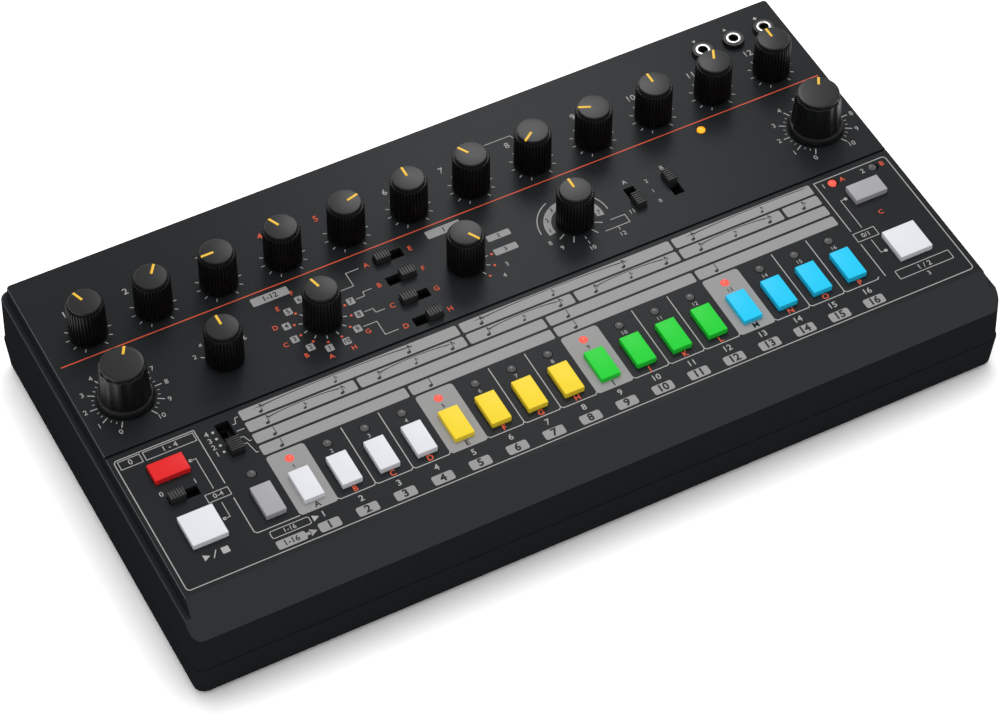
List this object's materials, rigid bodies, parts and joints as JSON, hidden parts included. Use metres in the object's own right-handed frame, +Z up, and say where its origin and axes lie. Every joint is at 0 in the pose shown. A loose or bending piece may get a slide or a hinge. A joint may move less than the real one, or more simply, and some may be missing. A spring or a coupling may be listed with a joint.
{
  "type": "drum machine",
  "caption": "Desktop drum machine: two-part case, raised deck with ribbed knobs, slide switches, coloured push buttons, lamps and jacks.",
  "frame": {"origin": "middle of the footprint, on the surface the rubber feet stand on", "axes": "+X to the right, +Y to the back, +Z up, as the user sits in front of it"},
  "size_m": [0.305, 0.1642, 0.0596],
  "materials": {
    "case_top": "fine-grained satin, slightly lighter than the bottom case",
    "case_bottom": "fine-grained satin",
    "board": "solder mask",
    "control_body": "pressed steel",
    "switch_black": "moulded",
    "lamp": "clear domed",
    "jack": "black collar with a bright ring",
    "socket": "moulded",
    "rubber": "matt",
    "screw": "zinc plated",
    "knob": "ribbed, smooth cap, amber pointer",
    "slide_cap": "ribbed",
    "button_grey": "satin",
    "button_white": "satin",
    "button_yellow": "satin",
    "button_green": "satin",
    "button_blue": "satin",
    "button_red": "satin"
  },
  "bodies": {
    "case": {"top_case": "case_top", "bottom_case": "case_bottom", "upper_circuit_board": "board", "lower_circuit_board": "board", "pot_bodies": "control_body", "slide_switch_bodies": "control_body", "tact_switches": "switch_black", "indicator_lamps": "lamp", "top_jacks": "jack", "rear_sockets": "socket", "rubber_feet": "rubber", "fixing_screws": "screw"},
    "level_knob_1": {"level_knob_1": "knob"},
    "level_knob_2": {"level_knob_2": "knob"},
    "level_knob_3": {"level_knob_3": "knob"},
    "level_knob_4": {"level_knob_4": "knob"},
    "level_knob_5": {"level_knob_5": "knob"},
    "level_knob_6": {"level_knob_6": "knob"},
    "level_knob_7": {"level_knob_7": "knob"},
    "level_knob_8": {"level_knob_8": "knob"},
    "level_knob_9": {"level_knob_9": "knob"},
    "level_knob_10": {"level_knob_10": "knob"},
    "level_knob_11": {"level_knob_11": "knob"},
    "level_knob_12": {"level_knob_12": "knob"},
    "variation_selector": {"variation_selector": "knob"},
    "instrument_selector": {"instrument_selector": "knob"},
    "pattern_selector": {"pattern_selector": "knob"},
    "fill_selector": {"fill_selector": "knob"},
    "tempo_knob": {"tempo_knob": "knob"},
    "volume_knob": {"volume_knob": "knob"},
    "voice_slide_1": {"voice_slide_1": "slide_cap"},
    "voice_slide_2": {"voice_slide_2": "slide_cap"},
    "voice_slide_3": {"voice_slide_3": "slide_cap"},
    "voice_slide_4": {"voice_slide_4": "slide_cap"},
    "fade_in_slide": {"fade_in_slide": "slide_cap"},
    "fade_out_slide": {"fade_out_slide": "slide_cap"},
    "auto_slide": {"auto_slide": "slide_cap"},
    "scale_slide": {"scale_slide": "slide_cap"},
    "function_button": {"function_button": "button_grey"},
    "step_button_1": {"step_button_1": "button_white"},
    "step_button_2": {"step_button_2": "button_white"},
    "step_button_3": {"step_button_3": "button_white"},
    "step_button_4": {"step_button_4": "button_white"},
    "step_button_5": {"step_button_5": "button_yellow"},
    "step_button_6": {"step_button_6": "button_yellow"},
    "step_button_7": {"step_button_7": "button_yellow"},
    "step_button_8": {"step_button_8": "button_yellow"},
    "step_button_9": {"step_button_9": "button_green"},
    "step_button_10": {"step_button_10": "button_green"},
    "step_button_11": {"step_button_11": "button_green"},
    "step_button_12": {"step_button_12": "button_green"},
    "step_button_13": {"step_button_13": "button_blue"},
    "step_button_14": {"step_button_14": "button_blue"},
    "step_button_15": {"step_button_15": "button_blue"},
    "step_button_16": {"step_button_16": "button_blue"},
    "clear_button": {"clear_button": "button_red"},
    "start_button": {"start_button": "button_white"},
    "pattern_button": {"pattern_button": "button_grey"},
    "write_button": {"write_button": "button_white"},
    "power_button": {"power_button": "slide_cap"}
  },
  "joints": [
    {"name": "level_1_turn", "type": "hinge", "parent": "case", "child": "level_knob_1", "pos_m": [-0.13244, 0.0436, 0.0415], "axis": [0, 0, -1], "range_deg": [-130, 170]},
    {"name": "level_2_turn", "type": "hinge", "parent": "case", "child": "level_knob_2", "pos_m": [-0.10836, 0.0436, 0.0415], "axis": [0, 0, -1], "range_deg": [-185, 115]},
    {"name": "level_3_turn", "type": "hinge", "parent": "case", "child": "level_knob_3", "pos_m": [-0.08428, 0.0436, 0.0415], "axis": [0, 0, -1], "range_deg": [-60, 240]},
    {"name": "level_4_turn", "type": "hinge", "parent": "case", "child": "level_knob_4", "pos_m": [-0.0602, 0.0436, 0.0415], "axis": [0, 0, -1], "range_deg": [-125, 175]},
    {"name": "level_5_turn", "type": "hinge", "parent": "case", "child": "level_knob_5", "pos_m": [-0.03612, 0.0436, 0.0415], "axis": [0, 0, -1], "range_deg": [-225, 75]},
    {"name": "level_6_turn", "type": "hinge", "parent": "case", "child": "level_knob_6", "pos_m": [-0.01204, 0.0436, 0.0415], "axis": [0, 0, -1], "range_deg": [-150, 150]},
    {"name": "level_7_turn", "type": "hinge", "parent": "case", "child": "level_knob_7", "pos_m": [0.01204, 0.0436, 0.0415], "axis": [0, 0, -1], "range_deg": [-120, 180]},
    {"name": "level_8_turn", "type": "hinge", "parent": "case", "child": "level_knob_8", "pos_m": [0.03612, 0.0436, 0.0415], "axis": [0, 0, -1], "range_deg": [-25, 275]},
    {"name": "level_9_turn", "type": "hinge", "parent": "case", "child": "level_knob_9", "pos_m": [0.0602, 0.0436, 0.0415], "axis": [0, 0, -1], "range_deg": [-85, 215]},
    {"name": "level_10_turn", "type": "hinge", "parent": "case", "child": "level_knob_10", "pos_m": [0.08428, 0.0436, 0.0415], "axis": [0, 0, -1], "range_deg": [-150, 150]},
    {"name": "level_11_turn", "type": "hinge", "parent": "case", "child": "level_knob_11", "pos_m": [0.10836, 0.0436, 0.0415], "axis": [0, 0, -1], "range_deg": [-175, 125]},
    {"name": "level_12_turn", "type": "hinge", "parent": "case", "child": "level_knob_12", "pos_m": [0.13244, 0.0436, 0.0415], "axis": [0, 0, -1], "range_deg": [-150, 150]},
    {"name": "variation_turn", "type": "hinge", "parent": "case", "child": "variation_selector", "pos_m": [-0.09632, 0.0125, 0.0415], "axis": [0, 0, -1], "range_deg": [-60, 60]},
    {"name": "instrument_turn", "type": "hinge", "parent": "case", "child": "instrument_selector", "pos_m": [-0.0602, 0.0125, 0.0415], "axis": [0, 0, -1], "range_deg": [-150, 180]},
    {"name": "pattern_turn", "type": "hinge", "parent": "case", "child": "pattern_selector", "pos_m": [-0.00602, 0.0125, 0.0415], "axis": [0, 0, -1], "range_deg": [-90, 0]},
    {"name": "fill_turn", "type": "hinge", "parent": "case", "child": "fill_selector", "pos_m": [0.03612, 0.0125, 0.0415], "axis": [0, 0, -1], "range_deg": [-150, 180]},
    {"name": "tempo_turn", "type": "hinge", "parent": "case", "child": "tempo_knob", "pos_m": [-0.13244, 0.0125, 0.0415], "axis": [0, 0, -1], "range_deg": [-180, 120]},
    {"name": "volume_turn", "type": "hinge", "parent": "case", "child": "volume_knob", "pos_m": [0.13244, 0.0125, 0.0415], "axis": [0, 0, -1], "range_deg": [-180, 120]},
    {"name": "voice_slide_1_travel", "type": "slide", "parent": "case", "child": "voice_slide_1", "axis": [1, 0, 0], "range_m": [0, 0.0046]},
    {"name": "voice_slide_2_travel", "type": "slide", "parent": "case", "child": "voice_slide_2", "axis": [1, 0, 0], "range_m": [-0.0046, 0]},
    {"name": "voice_slide_3_travel", "type": "slide", "parent": "case", "child": "voice_slide_3", "axis": [1, 0, 0], "range_m": [0, 0.0046]},
    {"name": "voice_slide_4_travel", "type": "slide", "parent": "case", "child": "voice_slide_4", "axis": [1, 0, 0], "range_m": [-0.0046, 0]},
    {"name": "fade_in_travel", "type": "slide", "parent": "case", "child": "fade_in_slide", "axis": [0, 1, 0], "range_m": [0, 0.0046]},
    {"name": "fade_out_travel", "type": "slide", "parent": "case", "child": "fade_out_slide", "axis": [0, 1, 0], "range_m": [-0.0046, 0]},
    {"name": "auto_travel", "type": "slide", "parent": "case", "child": "auto_slide", "axis": [1, 0, 0], "range_m": [0, 0.0046]},
    {"name": "scale_travel", "type": "slide", "parent": "case", "child": "scale_slide", "axis": [0, 1, 0], "range_m": [0, 0.0086]},
    {"name": "function_press", "type": "slide", "parent": "case", "child": "function_button", "axis": [0, 0, 1], "range_m": [-0.0008, 0], "stiffness_N_per_m": 400, "springref_m": 0.0015},
    {"name": "step_button_1_press", "type": "slide", "parent": "case", "child": "step_button_1", "axis": [0, 0, 1], "range_m": [-0.0008, 0], "stiffness_N_per_m": 400, "springref_m": 0.0015},
    {"name": "step_button_2_press", "type": "slide", "parent": "case", "child": "step_button_2", "axis": [0, 0, 1], "range_m": [-0.0008, 0], "stiffness_N_per_m": 400, "springref_m": 0.0015},
    {"name": "step_button_3_press", "type": "slide", "parent": "case", "child": "step_button_3", "axis": [0, 0, 1], "range_m": [-0.0008, 0], "stiffness_N_per_m": 400, "springref_m": 0.0015},
    {"name": "step_button_4_press", "type": "slide", "parent": "case", "child": "step_button_4", "axis": [0, 0, 1], "range_m": [-0.0008, 0], "stiffness_N_per_m": 400, "springref_m": 0.0015},
    {"name": "step_button_5_press", "type": "slide", "parent": "case", "child": "step_button_5", "axis": [0, 0, 1], "range_m": [-0.0008, 0], "stiffness_N_per_m": 400, "springref_m": 0.0015},
    {"name": "step_button_6_press", "type": "slide", "parent": "case", "child": "step_button_6", "axis": [0, 0, 1], "range_m": [-0.0008, 0], "stiffness_N_per_m": 400, "springref_m": 0.0015},
    {"name": "step_button_7_press", "type": "slide", "parent": "case", "child": "step_button_7", "axis": [0, 0, 1], "range_m": [-0.0008, 0], "stiffness_N_per_m": 400, "springref_m": 0.0015},
    {"name": "step_button_8_press", "type": "slide", "parent": "case", "child": "step_button_8", "axis": [0, 0, 1], "range_m": [-0.0008, 0], "stiffness_N_per_m": 400, "springref_m": 0.0015},
    {"name": "step_button_9_press", "type": "slide", "parent": "case", "child": "step_button_9", "axis": [0, 0, 1], "range_m": [-0.0008, 0], "stiffness_N_per_m": 400, "springref_m": 0.0015},
    {"name": "step_button_10_press", "type": "slide", "parent": "case", "child": "step_button_10", "axis": [0, 0, 1], "range_m": [-0.0008, 0], "stiffness_N_per_m": 400, "springref_m": 0.0015},
    {"name": "step_button_11_press", "type": "slide", "parent": "case", "child": "step_button_11", "axis": [0, 0, 1], "range_m": [-0.0008, 0], "stiffness_N_per_m": 400, "springref_m": 0.0015},
    {"name": "step_button_12_press", "type": "slide", "parent": "case", "child": "step_button_12", "axis": [0, 0, 1], "range_m": [-0.0008, 0], "stiffness_N_per_m": 400, "springref_m": 0.0015},
    {"name": "step_button_13_press", "type": "slide", "parent": "case", "child": "step_button_13", "axis": [0, 0, 1], "range_m": [-0.0008, 0], "stiffness_N_per_m": 400, "springref_m": 0.0015},
    {"name": "step_button_14_press", "type": "slide", "parent": "case", "child": "step_button_14", "axis": [0, 0, 1], "range_m": [-0.0008, 0], "stiffness_N_per_m": 400, "springref_m": 0.0015},
    {"name": "step_button_15_press", "type": "slide", "parent": "case", "child": "step_button_15", "axis": [0, 0, 1], "range_m": [-0.0008, 0], "stiffness_N_per_m": 400, "springref_m": 0.0015},
    {"name": "step_button_16_press", "type": "slide", "parent": "case", "child": "step_button_16", "axis": [0, 0, 1], "range_m": [-0.0008, 0], "stiffness_N_per_m": 400, "springref_m": 0.0015},
    {"name": "clear_press", "type": "slide", "parent": "case", "child": "clear_button", "axis": [0, 0, 1], "range_m": [-0.0008, 0], "stiffness_N_per_m": 400, "springref_m": 0.0015},
    {"name": "start_press", "type": "slide", "parent": "case", "child": "start_button", "axis": [0, 0, 1], "range_m": [-0.0008, 0], "stiffness_N_per_m": 400, "springref_m": 0.0015},
    {"name": "pattern_press", "type": "slide", "parent": "case", "child": "pattern_button", "axis": [0, 0, 1], "range_m": [-0.0008, 0], "stiffness_N_per_m": 400, "springref_m": 0.0015},
    {"name": "write_press", "type": "slide", "parent": "case", "child": "write_button", "axis": [0, 0, 1], "range_m": [-0.0008, 0], "stiffness_N_per_m": 400, "springref_m": 0.0015},
    {"name": "power_press", "type": "slide", "parent": "case", "child": "power_button", "axis": [0, 1, 0], "range_m": [-0.002, 0], "stiffness_N_per_m": 500, "springref_m": 0.0015}
  ]
}
